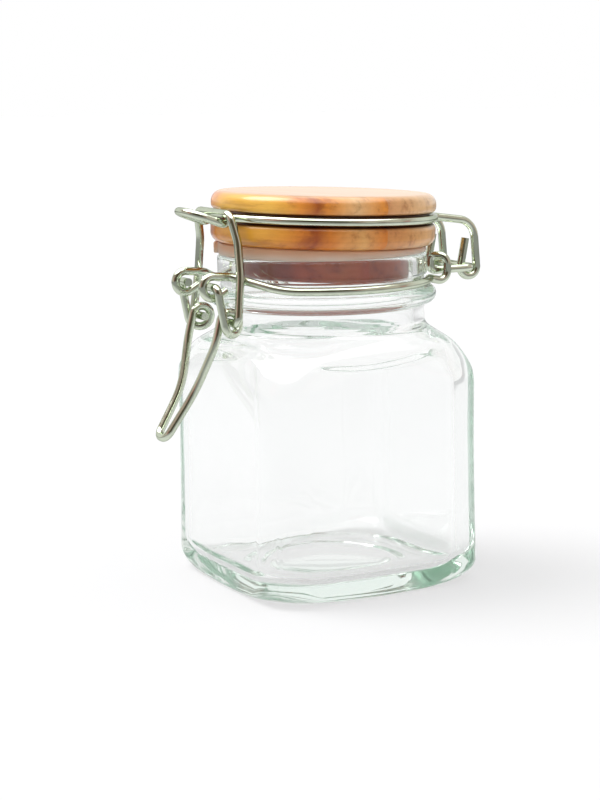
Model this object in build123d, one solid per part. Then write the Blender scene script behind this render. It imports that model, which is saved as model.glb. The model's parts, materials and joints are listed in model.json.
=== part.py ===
from build123d import *
import os
from math import asin, atan2, ceil, cos, hypot, pi, radians, sin, sqrt, tan

# A small square glass jar with a turned wooden lid, a soft gasket and a wire clip closure.
# Z is up, the jar stands on z = 0, the latch faces -Y and the hinge lies at +Y.
# All lengths are millimetres and all angles are degrees unless a name says otherwise.

# Wire of the closure
wire_diameter = 1.8
seat_gap = 0.1
wire_gap = 0.3
turn_gap = 0.5
hook_bend = 1.4
hairline = 0.001
cut_overrun = 5.0

# Glass jar, outside
body_width = 54.2
body_corner = 9.0
side_bulge = 0.25
waist_depth = 0.15
foot_spread = 0.25
heel_height = 5.0
heel_inset = 2.0
heel_corner = 22.0
wall_top = 44.5
shoulder_height = 12.5
neck_height = 4.2
neck_inset = 4.35
bead_height = 4.3
bead_overhang = 2.85
bead_lower_round = 2.3
bead_upper_round = 1.7
neck_groove_play = 1.0
lip_height = 4.9
lip_overhang = 0.6
lip_round = 0.8
corner_round = 0.3

# Glass jar, inside and underneath
neck_wall = 2.45
side_wall = 3.2
floor_thickness = 3.6
inner_corner = 7.5
inner_heel_height = 4.0
inner_heel_inset = 3.5
inner_heel_corner = 13.0
recess_radius = 15.0
recess_width = 3.5
recess_depth = 0.5

# Wooden lid, drawn level
lid_overhang = 2.25
lid_seat = 0.6
lower_band = 4.95
upper_band = 4.25
lid_groove_play = 0.4
lid_groove_depth = 1.4
band_round = 1.8
lower_edge_round = 2.2
upper_edge_round = 2.4
plug_play = 1.0
plug_depth = 7.2
plug_round = 1.2
lid_tilt = 2.25

# Gasket
gasket_width = 3.2
gasket_plug_gap = 0.7
tab_width = 4.0
tab_reach = 0.8
tab_height = 2.2
tab_turn = 30.0

# Hinge at the back
hinge_reach = 10.35
hinge_rise = 1.4
hinge_half_width = 9.1
hinge_bend = 2.0
loop_reach = 1.95
loop_top_rise = 4.8
loop_drop = 1.2
loop_inner_bend = 1.3
loop_outer_bend = 2.0
loop_ring_bend = 2.2

# Front eyes of the neck wire
eye_half_width = 6.95
eye_radius = 2.35
eye_reach = 6.62
eye_rise = 0.9
eye_tail = 2.4
eye_tail_turn = 215.0
eye_strand_reach = 2.1
eye_strand_rise = 2.85
eye_strand_bend = 3.0
eye_clear_bend = 20.0
eye_clear_turn = 42.0

# Lid wire, drawn level
leg_half_width = 7.0
leg_drop = 1.2
leg_lean = 1.5
leg_corner_round = 4.5
hook_half_width = 2.45
hook_drop = 2.1
hook_corner_round = 2.0
stub_height = 8.6
stub_lean = 1.4
leg_ring_bend = 2.6
nose_half_width = 5.0
nose_tip_half_width = 4.3
nose_start_reach = 0.1
nose_dip_reach = 1.9
nose_dip = 1.4
nose_tip_reach = 9.9
nose_tip_rise = 1.2
nose_side_bend = 1.6
nose_dip_bend = 1.9
nose_tip_bend = 3.9

# Lever
lever_half_width = 9.3
lever_pin_end = 5.2
coil_radius = 2.2
coil_reach = 2.85
coil_drop = 7.8
elbow_reach = 6.3
elbow_drop = 12.4
elbow_bend = 12.0
knee_half_width = 3.6
knee_reach = 9.6
knee_drop = 22.4
knee_bend = 25.0
tip_half_width = 2.2
tip_reach = 16.3
tip_drop = 32.6
tip_bend = 2.1

# Bail
bail_pin_end = 5.2
bail_side_gap = 0.25
bail_middle_half_width = 10.5
bail_middle_reach = 1.7
bail_middle_rise = 10.0
bail_shoulder_half_width = 9.4
bail_shoulder_reach = 1.6
bail_shoulder_rise = 17.2
bail_top_half_width = 8.1
bail_top_reach = 1.9
crossbar_gap = 0.6
bail_leg_bend = 20.0
bail_shoulder_bend = 10.0
bail_top_bend = 2.4

# Steps and powers of the glass shapes, and shares
heel_steps = 4
shoulder_steps = 8
shoulder_overhang_power = 3
shoulder_round_power = 2
circle_side_turn = 22.5
circle_corner_turn = 45.0
middle_share = 0.5
turn_length_share = 4

# Places worked out from the sizes above
wire_radius = wire_diameter / 2
body_half = body_width / 2
neck_radius = body_half - neck_inset
bore_radius = neck_radius - neck_wall
shoulder_top = wall_top + shoulder_height
bead_bottom = shoulder_top + neck_height
bead_top = bead_bottom + bead_height
bead_radius = neck_radius + bead_overhang
neck_groove = wire_diameter + neck_groove_play
lip_bottom = bead_top + neck_groove
lip_radius = neck_radius + lip_overhang
rim = lip_bottom + lip_height
neck_ring_level = bead_top + neck_groove / 2
neck_ring_radius = neck_radius + seat_gap + wire_radius

lid_radius = neck_radius + lid_overhang
lid_bottom = rim + lid_seat
lid_groove_bottom = lid_bottom + lower_band
lid_groove_top = lid_groove_bottom + wire_diameter + lid_groove_play
lid_top = lid_groove_top + upper_band
lid_groove_radius = lid_radius - lid_groove_depth
lid_ring_level = (lid_groove_bottom + lid_groove_top) / 2
lid_ring_radius = lid_groove_radius + seat_gap + wire_radius
plug_radius = bore_radius - plug_play
plug_bottom = lid_bottom - plug_depth

hinge_y = neck_ring_radius + hinge_reach
hinge_z = neck_ring_level + hinge_rise
hinge_axis = Axis((0, hinge_y, hinge_z), (-1, 0, 0))

eye_y = -(neck_ring_radius + eye_reach)
eye_z = neck_ring_level + eye_rise
coil_y = -(neck_ring_radius + coil_reach)
coil_z = eye_z - coil_drop
turn_shift = wire_diameter + turn_gap


def corner_arc(before, corner, after, radius):
    """Where a rounded corner starts, its middle point and where it ends."""
    back = (before - corner).normalized()
    ahead = (after - corner).normalized()
    half_angle = radians(back.get_angle(ahead)) / 2
    setback = radius / tan(half_angle)
    middle = corner + (back + ahead).normalized() * (radius / sin(half_angle) - radius)
    return corner + back * setback, middle, corner + ahead * setback


def rounded_path(points, bends):
    """Straight runs through the points, each inner corner rounded by its own bend radius."""
    places = [Vector(*point) for point in points]
    edges = []
    start = places[0]
    for index, bend in enumerate(bends, 1):
        first = middle = last = places[index]
        if bend:
            first, middle, last = corner_arc(places[index - 1], places[index], places[index + 1], bend)
        if (first - start).length > hairline:
            edges.append(Line(start, first))
        if bend:
            edges.append(ThreePointArc(first, middle, last))
        start = last
    edges.append(Line(start, places[-1]))
    return edges


def turned_solid(profile):
    """A solid of revolution from (radius, level, rounding) corners that start and end on Z."""
    points = [(radius, 0, level) for radius, level, rounding in profile]
    roundings = [rounding for radius, level, rounding in profile[1:-1]]
    outline = rounded_path(points, roundings) + [Line(points[-1], points[0])]
    return revolve(Face(Wire(outline)), Axis.Z)


def on_circle(x, centre, radius, angle):
    """A point of an upright circle in the plane at x; 0 points to +Y and 90 points up."""
    return Vector(x, centre[0] + radius * cos(radians(angle)), centre[1] + radius * sin(radians(angle)))


def upright_arc(x, centre, radius, start, sweep):
    """An arc of an upright circle, in parts of a quarter turn at most."""
    parts = ceil(sweep / 90)
    step = sweep / parts
    arcs = []
    for part in range(parts):
        first = start + part * step
        ends = [on_circle(x, centre, radius, first + share * step) for share in (0, middle_share, 1)]
        arcs.append(ThreePointArc(*ends))
    return arcs


def touch_angle(point, centre, radius, side):
    """The angle on the circle at which a line from the point touches it."""
    away = atan2(point[1] - centre[1], point[0] - centre[0])
    spread = pi / 2 - asin(radius / hypot(point[0] - centre[0], point[1] - centre[1]))
    return (away + side * spread) * 180 / pi


def mirrored(edges):
    """The same edges on the other side of the middle plane."""
    return [edge.mirror(Plane.YZ) for edge in edges]


def bent_wire(name, half_path):
    """A round wire swept along a half path and its mirror image."""
    path = Wire(half_path + mirrored(half_path))
    start = Plane(origin=path @ 0, z_dir=path % 0)
    solid = sweep(start * Circle(wire_radius), path=path)
    expected = pi * wire_radius ** 2 * path.length
    print(f"{name}: length {path.length:.1f}, volume over section times length "
          f"{solid.volume / expected:.4f}, least gap to itself {least_gap(path):.2f}")
    return solid


def least_gap(path):
    """The least free distance between two stretches of one wire."""
    count = int(path.length / wire_radius)
    points = [path @ (index / count) for index in range(count + 1)]
    apart = int(turn_length_share * wire_diameter / wire_radius)
    distances = [
        (points[first] - points[second]).length
        for first in range(len(points))
        for second in range(first + apart, len(points))
    ]
    return min(distances) - wire_diameter


def ring_point(radius, turn, front, level):
    """A point on a ring, turned from the front or the back of the middle plane."""
    side = -1 if front else 1
    return Vector(radius * sin(radians(turn)), side * radius * cos(radians(turn)), level)


def ring_exit(radius, x, y):
    """The turn at which a line through (x, y) leaves a ring without a kink."""
    distance = hypot(x, y)
    return (atan2(x, abs(y)) + atan2(sqrt(distance ** 2 - radius ** 2), radius)) * 180 / pi


def section(half, corner, roundness, level):
    """A level outline with four bowed sides and four corners, which roundness turns into a circle."""
    straight = half - corner
    flat_end = Vector(half - side_bulge, straight)
    flat_corner = Vector(1, 1) * (straight + corner * cos(pi / 4))
    round_end = Vector(half, 0).rotate(Axis.Z, circle_side_turn)
    round_corner = Vector(half, 0).rotate(Axis.Z, circle_corner_turn)
    side_end = flat_end * (1 - roundness) + round_end * roundness
    corner_middle = flat_corner * (1 - roundness) + round_corner * roundness
    quarter = [
        Vector(side_end.X, -side_end.Y),
        Vector(half, 0),
        side_end,
        corner_middle,
        Vector(side_end.Y, side_end.X),
    ]
    edges = []
    for turn in range(0, 360, 90):
        places = [place.rotate(Axis.Z, turn) + Vector(0, 0, level) for place in quarter]
        edges.append(ThreePointArc(*places[:3]))
        edges.append(ThreePointArc(*places[2:]))
    return Wire(edges)


def square_vessel(half, corner, floor, heel, inset, low_corner, top_radius):
    """A square body, wider at the foot, with a round heel and a shoulder that ends round."""
    heel_top = floor + heel
    foot_half = half + foot_spread
    heel_sections = []
    for step in range(heel_steps + 1):
        angle = pi / 2 * step / heel_steps
        left = 1 - sin(angle)
        level = floor + heel * (1 - cos(angle))
        heel_sections.append(section(foot_half - inset * left, corner + (low_corner - corner) * left, 0, level))
    middle = (heel_top + wall_top) / 2
    wall_sections = [
        section(foot_half, corner, 0, heel_top),
        section(half + foot_spread / 2 - waist_depth, corner, 0, middle),
        section(half, corner, 0, wall_top),
    ]
    shoulder_sections = []
    for step in range(shoulder_steps + 1):
        share = step / shoulder_steps
        overhang = (half - top_radius) * (1 - share ** shoulder_overhang_power)
        level = wall_top + shoulder_height * share
        shoulder_sections.append(section(top_radius + overhang, corner, share ** shoulder_round_power, level))
    return (
        Solid.make_loft(heel_sections)
        + Solid.make_loft(wall_sections)
        + Solid.make_loft(shoulder_sections)
    )


def glass_jar():
    """The square jar with its bead, wire groove, lip, round bore and thick floor."""
    outside = square_vessel(body_half, body_corner, 0, heel_height, heel_inset, heel_corner, neck_radius)
    neck = turned_solid([
        (0, wall_top, 0),
        (bore_radius, wall_top, 0),
        (bore_radius, shoulder_top, 0),
        (neck_radius, shoulder_top, 0),
        (neck_radius, bead_bottom, corner_round),
        (bead_radius, bead_bottom, bead_lower_round),
        (bead_radius, bead_top, bead_upper_round),
        (neck_radius, bead_top, corner_round),
        (neck_radius, lip_bottom, corner_round),
        (lip_radius, lip_bottom, corner_round),
        (lip_radius, rim, lip_round),
        (0, rim, 0),
    ])
    inside = square_vessel(
        body_half - side_wall, inner_corner, floor_thickness,
        inner_heel_height, inner_heel_inset, inner_heel_corner, bore_radius,
    )
    bore = turned_solid([
        (0, shoulder_top - neck_wall, 0),
        (bore_radius - corner_round, shoulder_top - neck_wall, 0),
        (bore_radius, shoulder_top, 0),
        (bore_radius, rim - corner_round, 0),
        (bore_radius + corner_round, rim, 0),
        (bore_radius + corner_round, rim + cut_overrun, 0),
        (0, rim + cut_overrun, 0),
    ])
    recess = Cylinder(recess_radius, 2 * recess_depth) - Cylinder(recess_radius - recess_width, 2 * recess_depth)
    return outside + neck - inside - bore - recess


def tilted(piece):
    """The piece as it stands when the gasket holds the lid up at the front."""
    return piece.rotate(hinge_axis, lid_tilt)


def wooden_lid():
    """Two rounded bands with the wire groove between them, and the plug turned on the same piece."""
    return tilted(turned_solid([
        (0, plug_bottom, 0),
        (plug_radius, plug_bottom, plug_round),
        (plug_radius, lid_bottom, corner_round),
        (lid_radius, lid_bottom, lower_edge_round),
        (lid_radius, lid_groove_bottom, band_round),
        (lid_groove_radius, lid_groove_bottom, 0),
        (lid_groove_radius, lid_groove_top, 0),
        (lid_radius, lid_groove_top, band_round),
        (lid_radius, lid_top, upper_edge_round),
        (0, lid_top, 0),
    ]))


def gasket():
    """A flat soft ring that stands on the rim, thicker at the front where the lid is held up."""
    inner = plug_radius + gasket_plug_gap
    outer = inner + gasket_width
    room = plug_depth
    ring = Cylinder(outer, room) - Cylinder(inner, room)
    tab = Pos(0, -(outer + tab_reach / 2), (tab_height - room) / 2) * Box(
        tab_width, tab_reach + gasket_width / 2, tab_height)
    ring = Pos(0, 0, rim + room / 2) * (ring + Rot(0, 0, -tab_turn) * tab)
    cover = Pos(0, 0, lid_bottom + room / 2) * Box(2 * body_width, 2 * body_width, room)
    return ring - tilted(cover)


def neck_wire():
    """One wire round the neck: the hinge bar, two rear loops, two side arcs and two front eyes."""
    clear_radius = lip_radius + wire_radius + seat_gap
    loop_x = hinge_half_width + turn_shift
    loop_y = neck_ring_radius + loop_reach
    loop_top = neck_ring_level + loop_top_rise
    strand_y = sqrt(clear_radius ** 2 - hinge_half_width ** 2) + wire_gap
    back_y = sqrt(neck_ring_radius ** 2 - loop_x ** 2) + seat_gap
    back_turn = ring_exit(neck_ring_radius, loop_x, back_y)
    back_start = ring_point(neck_ring_radius, back_turn, False, neck_ring_level)
    back = rounded_path(
        [
            (0, hinge_y, hinge_z),
            (hinge_half_width, hinge_y, hinge_z),
            (hinge_half_width, strand_y, hinge_z),
            (hinge_half_width, strand_y, loop_top),
            (loop_x, loop_y, loop_top),
            (loop_x, loop_y, neck_ring_level - loop_drop),
            (loop_x, back_y, neck_ring_level),
            back_start,
        ],
        [hinge_bend, loop_inner_bend, loop_inner_bend, loop_outer_bend, loop_outer_bend, loop_ring_bend],
    )
    strand = (eye_half_width, -(neck_ring_radius + eye_strand_reach), neck_ring_level + eye_strand_rise)
    clear_point = ring_point(clear_radius, eye_clear_turn, True, neck_ring_level)
    front_turn = ring_exit(neck_ring_radius, clear_point.X, clear_point.Y)
    front_start = ring_point(neck_ring_radius, front_turn, True, neck_ring_level)
    eye = (eye_y, eye_z)
    touch = touch_angle(strand[1:], eye, eye_radius, 1)
    front = rounded_path(
        [front_start, clear_point, strand, on_circle(eye_half_width, eye, eye_radius, touch)],
        [eye_clear_bend, eye_strand_bend],
    )
    tail_angle = touch + eye_tail_turn
    tail_start = on_circle(eye_half_width, eye, eye_radius, tail_angle)
    tail_way = on_circle(0, (0, 0), eye_tail, tail_angle + 90)
    middle = Vector(neck_ring_radius, 0, neck_ring_level).rotate(Axis.Z, (front_turn - back_turn) / 2)
    side_arc = ThreePointArc(back_start, middle, front_start)
    loops = upright_arc(eye_half_width, eye, eye_radius, touch, eye_tail_turn)
    return bent_wire("neck_wire", back + [side_arc] + front + loops + [Line(tail_start, tail_start + tail_way)])


def lid_wire():
    """One wire round the lid: two hooks on the hinge bar, the ring and the nose at the front."""
    hook_bottom = hinge_z - hook_drop
    leg_level = lid_ring_level - leg_drop
    leg_y = sqrt(lid_ring_radius ** 2 - leg_half_width ** 2) + seat_gap
    back_turn = ring_exit(lid_ring_radius, leg_half_width, leg_y)
    back_start = ring_point(lid_ring_radius, back_turn, False, lid_ring_level)
    back = rounded_path(
        [
            (leg_half_width, hinge_y - hook_half_width + stub_lean, hook_bottom + stub_height),
            (leg_half_width, hinge_y - hook_half_width, hook_bottom),
            (leg_half_width, hinge_y + hook_half_width, hook_bottom),
            (leg_half_width, hinge_y + hook_half_width - leg_lean, leg_level),
            (leg_half_width, leg_y, lid_ring_level),
            back_start,
        ],
        [hook_corner_round, hook_corner_round, leg_corner_round, leg_ring_bend],
    )
    nose_start_y = -(lid_ring_radius + nose_start_reach)
    front_turn = ring_exit(lid_ring_radius, nose_half_width, nose_start_y)
    front_start = ring_point(lid_ring_radius, front_turn, True, lid_ring_level)
    tip_y = -(lid_ring_radius + nose_tip_reach)
    tip_z = lid_ring_level + nose_tip_rise
    front = rounded_path(
        [
            front_start,
            (nose_half_width, nose_start_y, lid_ring_level),
            (nose_half_width, -(lid_ring_radius + nose_dip_reach), lid_ring_level - nose_dip),
            (nose_tip_half_width, tip_y, tip_z),
            (0, tip_y, tip_z),
        ],
        [nose_side_bend, nose_dip_bend, nose_tip_bend],
    )
    middle = Vector(lid_ring_radius, 0, lid_ring_level).rotate(Axis.Z, (front_turn - back_turn) / 2)
    side_arc = ThreePointArc(back_start, middle, front_start)
    return tilted(bent_wire("lid_wire", back + [side_arc] + front))


def lever_wire():
    """The lever: pins in the eyes, two arms, a coil on each side and the bent finger loop."""
    eye = (eye_y, eye_z)
    coil = (coil_y, coil_z)
    inner_x = lever_half_width - turn_shift
    first_touch = touch_angle(eye, coil, coil_radius, 1)
    arm_end = on_circle(lever_half_width, coil, coil_radius, first_touch)
    arm = rounded_path(
        [(lever_pin_end, eye_y, eye_z), (lever_half_width, eye_y, eye_z), arm_end], [hook_bend])
    half_turn_end = on_circle(inner_x, coil, coil_radius, first_touch + 180)
    deep = hypot(coil_radius, turn_shift / 2)
    half_turn_middle = on_circle(lever_half_width - turn_shift / 2, coil, deep, first_touch + 90)
    half_turn = ThreePointArc(arm_end, half_turn_middle, half_turn_end)
    elbow = (inner_x, -(neck_ring_radius + elbow_reach), eye_z - elbow_drop)
    last_touch = touch_angle(elbow[1:], coil, coil_radius, -1)
    rest_turn = (last_touch - first_touch - 180) % 360
    finger = rounded_path(
        [
            on_circle(inner_x, coil, coil_radius, last_touch),
            elbow,
            (knee_half_width, -(neck_ring_radius + knee_reach), eye_z - knee_drop),
            (tip_half_width, -(neck_ring_radius + tip_reach), eye_z - tip_drop),
            (0, -(neck_ring_radius + tip_reach), eye_z - tip_drop),
        ],
        [elbow_bend, knee_bend, tip_bend],
    )
    coil_arc = upright_arc(inner_x, coil, coil_radius, first_touch + 180, rest_turn)
    return bent_wire("lever_wire", arm + [half_turn] + coil_arc + finger)


def bail_wire():
    """The bail: pins in the lever's coils, two legs and the crossbar that holds the nose down."""
    side_x = lever_half_width + wire_diameter + bail_side_gap
    top = tilted_point(-(lid_ring_radius + nose_dip_reach), lid_ring_level - nose_dip)
    top_z = top[1] + wire_diameter + crossbar_gap
    return bent_wire("bail_wire", rounded_path(
        [
            (bail_pin_end, coil_y, coil_z),
            (side_x, coil_y, coil_z),
            (bail_middle_half_width, -(neck_ring_radius + bail_middle_reach), coil_z + bail_middle_rise),
            (bail_shoulder_half_width, -(neck_ring_radius + bail_shoulder_reach), coil_z + bail_shoulder_rise),
            (bail_top_half_width, -(lid_ring_radius + bail_top_reach), top_z),
            (0, -(lid_ring_radius + bail_top_reach), top_z),
        ],
        [hook_bend, bail_leg_bend, bail_shoulder_bend, bail_top_bend],
    ))


def tilted_point(y, z):
    """Where a point of the level lid lies, as (y, z), when the lid is held up at the front."""
    turn = radians(lid_tilt)
    back = y - hinge_y
    up = z - hinge_z
    return (hinge_y + back * cos(turn) + up * sin(turn), hinge_z - back * sin(turn) + up * cos(turn))


pieces = {
    "glass_jar": glass_jar,
    "neck_wire": neck_wire,
    "wooden_lid": wooden_lid,
    "gasket": gasket,
    "lid_wire": lid_wire,
    "lever_wire": lever_wire,
    "bail_wire": bail_wire,
}

os.makedirs("parts", exist_ok=True)
for piece_name, make_piece in pieces.items():
    export_step(make_piece(), f"parts/{piece_name}.step")
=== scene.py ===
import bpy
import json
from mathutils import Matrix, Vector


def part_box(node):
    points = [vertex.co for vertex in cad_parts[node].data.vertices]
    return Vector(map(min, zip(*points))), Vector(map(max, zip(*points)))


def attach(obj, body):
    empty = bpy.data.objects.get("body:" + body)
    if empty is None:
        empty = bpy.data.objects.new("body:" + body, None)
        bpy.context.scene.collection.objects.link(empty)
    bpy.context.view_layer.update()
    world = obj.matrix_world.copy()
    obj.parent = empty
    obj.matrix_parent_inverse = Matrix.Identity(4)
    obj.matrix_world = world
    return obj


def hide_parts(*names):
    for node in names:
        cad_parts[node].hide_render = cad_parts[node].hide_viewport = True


bl_info = {
    "name": "Clip-top spice jar",
    "version": (1, 0, 0),
    "blender": (4, 5, 0),
    "location": "View3D > Sidebar > Spice Jar",
    "description": "Square glass jar with a turned wooden lid, gasket and wire closure on a white stage",
    "category": "Object",
}

import json
from collections import namedtuple
from math import atan2, cos, exp, pi, radians, sin, tan

import bmesh
import bpy
from bpy.props import FloatProperty, FloatVectorProperty, PointerProperty
from mathutils import Matrix, Vector, noise

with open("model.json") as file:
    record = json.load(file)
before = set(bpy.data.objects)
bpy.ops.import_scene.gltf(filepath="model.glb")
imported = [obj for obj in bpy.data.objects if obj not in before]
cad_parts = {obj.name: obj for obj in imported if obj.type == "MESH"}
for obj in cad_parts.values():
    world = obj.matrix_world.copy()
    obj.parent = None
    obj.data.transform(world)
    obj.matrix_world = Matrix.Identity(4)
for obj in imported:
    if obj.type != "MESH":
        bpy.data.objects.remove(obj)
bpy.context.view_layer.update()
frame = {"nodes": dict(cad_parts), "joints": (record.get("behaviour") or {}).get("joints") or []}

MM = 0.001
JAR_LOW, JAR_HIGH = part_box("glass_jar")
HINGE = next(joint for joint in frame["joints"] if joint["name"] == "lid_hinge")
HINGE_PLACE = Vector(HINGE["pos_m"])


class GlassSettings(bpy.types.PropertyGroup):
    """Sizes and tint of the glass jar."""

    foot_width: FloatProperty(
        name="Foot width", description="Outside width of the square body just above its heel",
        default=JAR_HIGH[0] - JAR_LOW[0], unit="LENGTH")
    height: FloatProperty(
        name="Rim height", description="Height of the rim above the base",
        default=JAR_HIGH[2] - JAR_LOW[2], unit="LENGTH")
    corner: FloatProperty(
        name="Corner radius", description="Radius of the upright corners",
        default=9.0 * MM, unit="LENGTH")
    wall: FloatProperty(
        name="Side wall", description="Thickness of the glass at the sides",
        default=3.2 * MM, unit="LENGTH")
    floor: FloatProperty(
        name="Floor", description="Thickness of the glass under the contents",
        default=3.6 * MM, unit="LENGTH")
    ripple: FloatProperty(
        name="Ripple", description="Unevenness of the pressed inner wall",
        default=0.12 * MM, unit="LENGTH")
    ledge: FloatProperty(
        name="Ledge", description="Rise of the wavy ledge inside the shoulder",
        default=0.85 * MM, unit="LENGTH")
    seam: FloatProperty(
        name="Seam", description="Rise of the mould seams on two corners",
        default=0.05 * MM, unit="LENGTH")
    tint: FloatVectorProperty(
        name="Tint", description="Colour that light takes on in thick glass",
        subtype="COLOR", default=(0.0, 0.48, 0.20))
    tint_depth: FloatProperty(
        name="Tint strength", description="How fast light takes on the tint, per metre", default=3.3)


class LidSettings(bpy.types.PropertyGroup):
    """Sizes and colours of the turned lid and its gasket."""

    radius: FloatProperty(
        name="Lid radius", description="Radius of the two bands", default=25.0 * MM, unit="LENGTH")
    tilt: FloatProperty(
        name="Tilt", description="How far the thick front of the gasket lifts the lid",
        default=radians(2.25), subtype="ANGLE")
    grain: FloatProperty(
        name="Grain", description="Direction of the grain, turned from the hinge bar",
        default=radians(17), subtype="ANGLE")
    wood: FloatVectorProperty(
        name="Wood", description="Main colour of the lacquered wood",
        subtype="COLOR", default=(0.90, 0.32, 0.03))
    wood_pale: FloatVectorProperty(
        name="Pale wood", description="Colour of the paler streaks",
        subtype="COLOR", default=(1.0, 0.56, 0.075))
    wood_dark: FloatVectorProperty(
        name="Dark wood", description="Colour of the darker lines",
        subtype="COLOR", default=(0.50, 0.12, 0.008))
    board: FloatVectorProperty(
        name="Second board", description="Colour of the pinker board",
        subtype="COLOR", default=(0.96, 0.58, 0.25))
    board_dark: FloatVectorProperty(
        name="Board edge", description="Colour of the pinker board next to the glued joint",
        subtype="COLOR", default=(0.68, 0.21, 0.05))
    # Painted light: the paler top stands in for the glare of light from above on the lacquer, not a sanded
    # finish.
    top_painted_light: FloatVectorProperty(
        name="Top wood", description="Colour of the sanded top, paler than the turned sides",
        subtype="COLOR", default=(0.86, 0.50, 0.22))
    # Painted shade: the lower band is darkened where the upper band and the ring shade it.
    lower_band_shade: FloatVectorProperty(
        name="Lower band", description="Darkening of the wood below the groove",
        subtype="COLOR", default=(0.86, 0.72, 0.48))
    # Painted shade: the wood inside the narrow groove is darkened where shade falls.
    groove_shade: FloatVectorProperty(
        name="Groove", description="Darkening of the wood in the groove",
        subtype="COLOR", default=(0.16, 0.07, 0.04))
    # Painted shade: the plug is darkened as it stands in shade inside the jar's neck.
    plug_shade: FloatVectorProperty(
        name="Plug", description="Darkening of the wood on the plug",
        subtype="COLOR", default=(0.72, 0.26, 0.1))
    silicone: FloatVectorProperty(
        name="Gasket", description="Colour of the gasket",
        subtype="COLOR", default=(0.90, 0.68, 0.52))
    silicone_pale: FloatVectorProperty(
        name="Pale gasket", description="Colour of the gasket's cloudier patches",
        subtype="COLOR", default=(0.96, 0.78, 0.64))
    # Painted reflection: the wood's colour painted on the gasket near the lid.
    silicone_wood_reflection: FloatVectorProperty(
        name="Warm gasket", description="Colour of the gasket close to the wood",
        subtype="COLOR", default=(0.90, 0.48, 0.25))


class WireSettings(bpy.types.PropertyGroup):
    """Finish of the closure wire."""

    steel: FloatVectorProperty(
        name="Steel", description="Colour of the bright drawn wire",
        subtype="COLOR", default=(0.63, 0.685, 0.56))
    steel_rim: FloatVectorProperty(
        name="Steel rim", description="Tint of the wire where it turns away from the eye",
        subtype="COLOR", default=(0.55, 0.57, 0.52))
    roughness: FloatProperty(
        name="Roughness", description="Dullness of the wire's surface", default=0.11, min=0.0, max=1.0)


class StageSettings(bpy.types.PropertyGroup):
    """Camera, lamps, floor and surroundings."""

    azimuth: FloatProperty(
        name="Azimuth", description="Turn of the camera about the jar",
        default=radians(62.24), subtype="ANGLE")
    pitch: FloatProperty(
        name="Pitch", description="How far the camera looks down", default=radians(9.8), subtype="ANGLE")
    roll: FloatProperty(
        name="Roll", description="Turn of the camera about its own axis",
        default=radians(-0.95), subtype="ANGLE")
    distance: FloatProperty(
        name="Distance", description="From the camera to the middle of the view",
        default=0.4448, unit="LENGTH")
    side_step: FloatProperty(
        name="Side step", description="Middle of the view, to the right of the jar's axis",
        default=-0.00541, unit="LENGTH")
    rise: FloatProperty(
        name="Rise", description="Middle of the view, above the floor", default=0.03968, unit="LENGTH")
    lens: FloatProperty(
        name="Lens", description="Focal length in millimetres, for the sensor's height",
        default=59.145)
    key_light: FloatProperty(
        name="Key light", description="Strength of the light from above", default=1.9)
    key_spread: FloatProperty(
        name="Key spread", description="Apparent width of the light from above",
        default=radians(38), subtype="ANGLE")
    soft_light: FloatProperty(
        name="Soft light", description="Level of the even light from all sides", default=0.62)
    floor_size: FloatProperty(
        name="Floor", description="Radius of the pale floor", default=4.0, unit="LENGTH")
    floor_lift: FloatProperty(
        name="Floor lift", description="Light of its own by which the floor is white in view",
        default=0.615)
    floor_share: FloatProperty(
        name="Floor share", description="Share of the floor's colour that shows in plain view",
        default=0.48)
    floor_colour: FloatVectorProperty(
        name="Floor colour", description="Colour of the pale floor",
        subtype="COLOR", default=(0.75, 0.75, 0.76))
    ceiling: FloatProperty(
        name="Ceiling", description="Brightness of the panel overhead, as bright surfaces mirror it",
        default=3.2)
    dark_turn: FloatProperty(
        name="Dark side", description="Turn of the unlit side of the room about the jar",
        default=radians(62), subtype="ANGLE")
    dark_rise: FloatProperty(
        name="Dark rise", description="Height of the middle of the unlit side",
        default=radians(14), subtype="ANGLE")
    dark_inner: FloatProperty(
        name="Dark core", description="Half width of the darkest part",
        default=radians(18), subtype="ANGLE")
    dark_outer: FloatProperty(
        name="Dark edge", description="Half width at which the unlit side ends",
        default=radians(48), subtype="ANGLE")
    side_tone: FloatVectorProperty(
        name="Side tone", description="Colour of the room beside the jar, as bright surfaces mirror it",
        subtype="COLOR", default=(0.60, 0.53, 0.48))
    mirrored_floor: FloatProperty(
        name="Mirrored floor", description="Share of the near floor's brightness that is mirrored",
        default=0.92)
    far_floor: FloatProperty(
        name="Far floor", description="Share of the far floor's brightness that is mirrored",
        default=0.34)
    lit_inner: FloatProperty(
        name="Near floor", description="Radius of the brightly mirrored floor",
        default=0.27, unit="LENGTH")
    lit_outer: FloatProperty(
        name="Far floor edge", description="Radius where the mirrored floor is darkest",
        default=0.46, unit="LENGTH")
    lit_shift: FloatProperty(
        name="Lit shift", description="How far behind the jar the lit floor has its middle",
        default=0.25, unit="LENGTH")
    inner_white: FloatProperty(
        name="Inner white", description="Share of plain white in the room mirrored inside the glass",
        default=0.72)
    inner_floor: FloatProperty(
        name="Inner floor", description="Share of plain white in the floor mirrored inside the glass",
        default=0.5)
    dark: FloatVectorProperty(
        name="Dark colour", description="Colour of the unlit side of the room",
        subtype="COLOR", default=(0.09, 0.072, 0.048))
    blush: FloatVectorProperty(
        name="Blush", description="Warm pink patches of the room",
        subtype="COLOR", default=(0.60, 0.27, 0.26))


class JarSettings(bpy.types.PropertyGroup):
    """All settings of the jar."""

    glass: PointerProperty(type=GlassSettings)
    lid: PointerProperty(type=LidSettings)
    wire: PointerProperty(type=WireSettings)
    stage: PointerProperty(type=StageSettings)


# Mesh helpers

MERGE_DISTANCE = 0.002 * MM


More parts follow.
